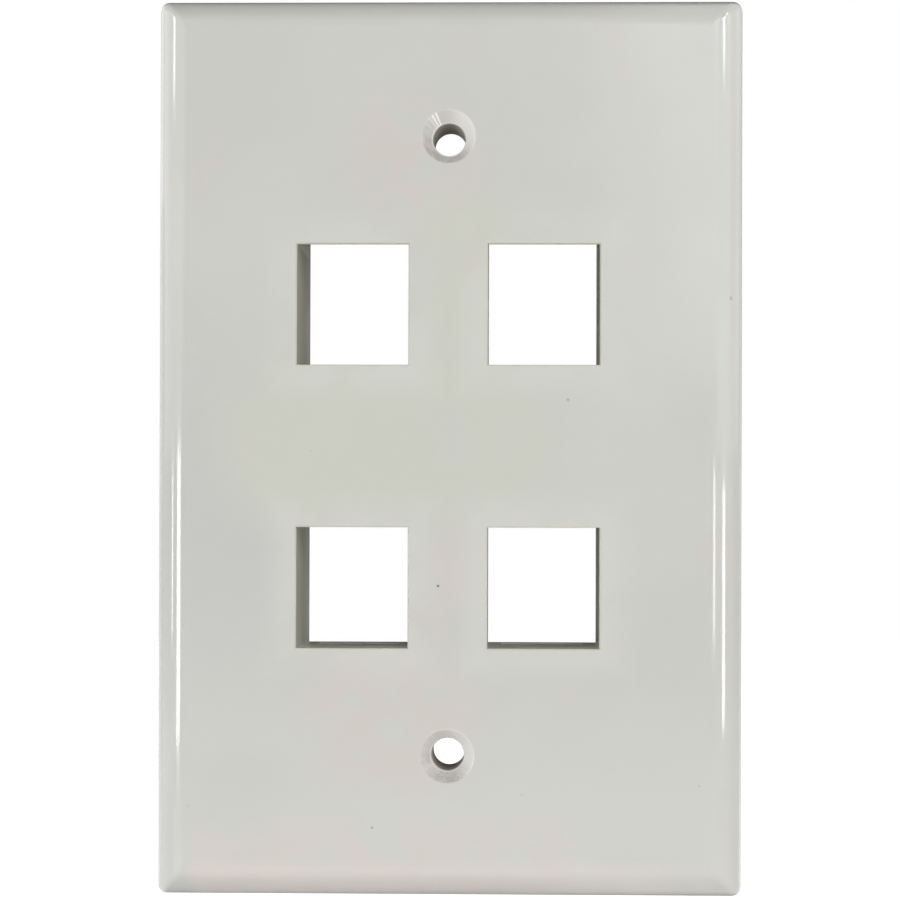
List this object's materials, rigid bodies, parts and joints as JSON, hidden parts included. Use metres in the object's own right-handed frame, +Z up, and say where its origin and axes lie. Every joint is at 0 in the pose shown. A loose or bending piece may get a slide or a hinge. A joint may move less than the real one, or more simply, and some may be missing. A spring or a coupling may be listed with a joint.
{
  "type": "keystone faceplate",
  "caption": "Flat wall plate with soft rolled edges, rectangular snap-in jack ports in housings behind the face, and countersunk screw holes above and below.",
  "frame": {"origin": "centre of the plate in the wall plane that the rim lies on, midway between the screw holes", "axes": "+Z up the plate, +Y into the wall, so the front face looks along -Y and +X is right as seen from the front"},
  "size_m": [0.0808, 0.0097, 0.1234],
  "materials": {
    "plate": "smooth moulded plastic with a soft polish, off-white"
  },
  "bodies": {
    "root": {"faceplate": "plate"}
  },
  "joints": []
}
